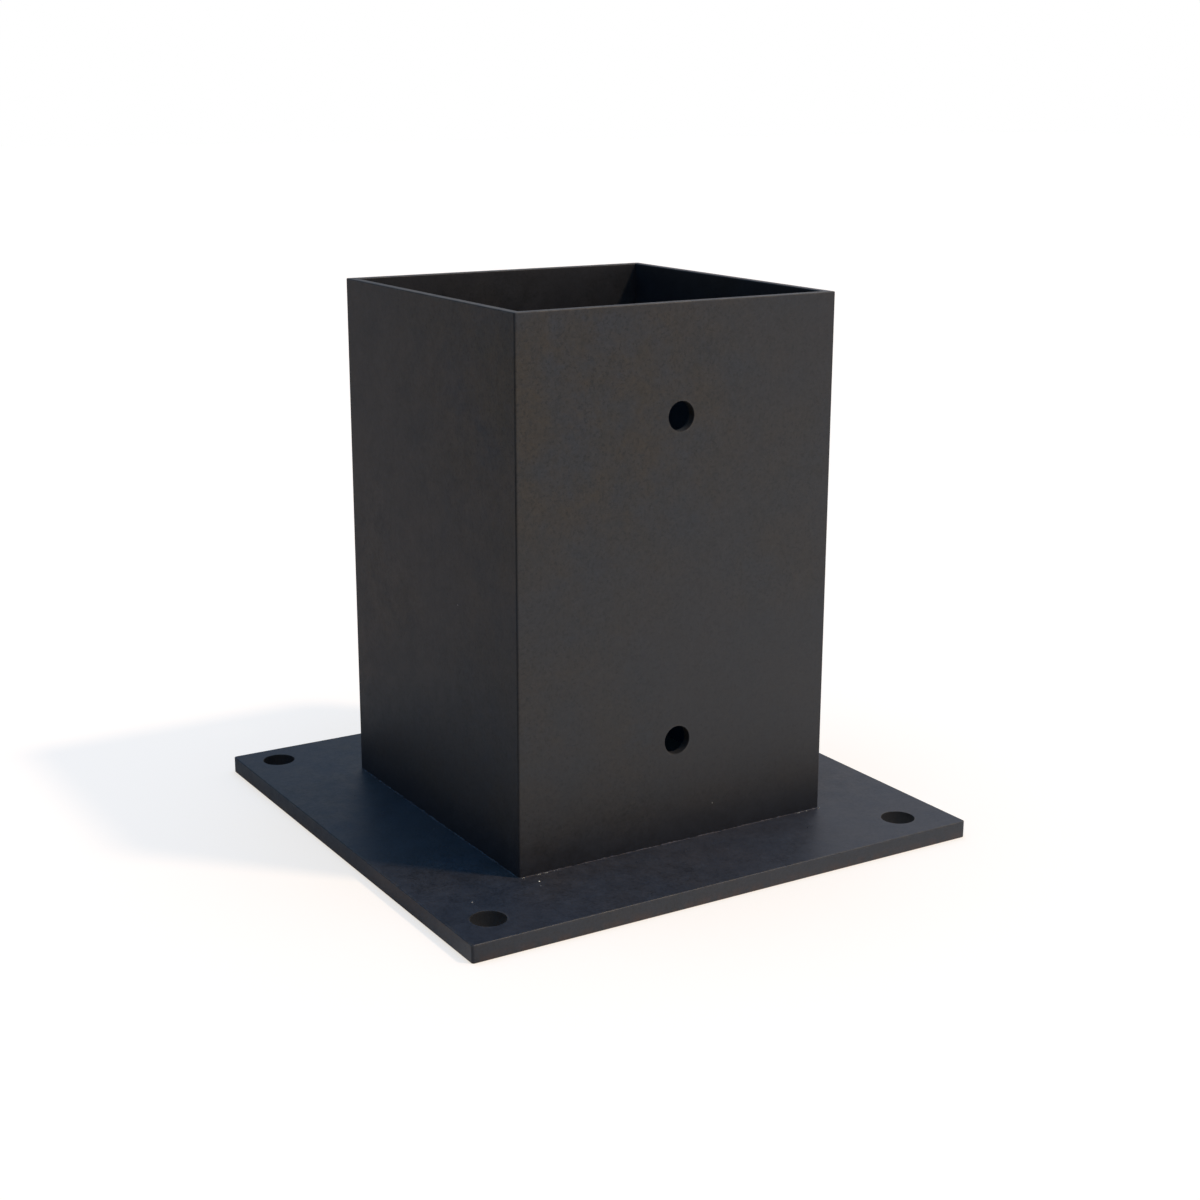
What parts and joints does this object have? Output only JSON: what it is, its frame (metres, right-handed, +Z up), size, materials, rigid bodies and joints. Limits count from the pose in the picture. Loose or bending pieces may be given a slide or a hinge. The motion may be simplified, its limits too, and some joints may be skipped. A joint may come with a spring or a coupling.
{
  "type": "timber post base",
  "caption": "Square welded steel sleeve, open at the top, upright on a drilled foot plate that anchors a timber post to concrete.",
  "frame": {"origin": "centre of the foot plate's underside", "axes": "+Z up, along the sleeve; -Y out of the front wall, which has cross-bolt holes; +X to the right of that wall"},
  "size_m": [0.16, 0.16, 0.155],
  "materials": {
    "black_coating": "satin black coating on steel, with a fine grain"
  },
  "bodies": {
    "root": {"base_plate": "black_coating", "front_wall": "black_coating", "back_wall": "black_coating", "left_wall": "black_coating", "right_wall": "black_coating", "corner_weld_front_left": "black_coating", "corner_weld_front_right": "black_coating", "corner_weld_back_left": "black_coating", "corner_weld_back_right": "black_coating", "foot_weld": "black_coating"}
  },
  "joints": []
}
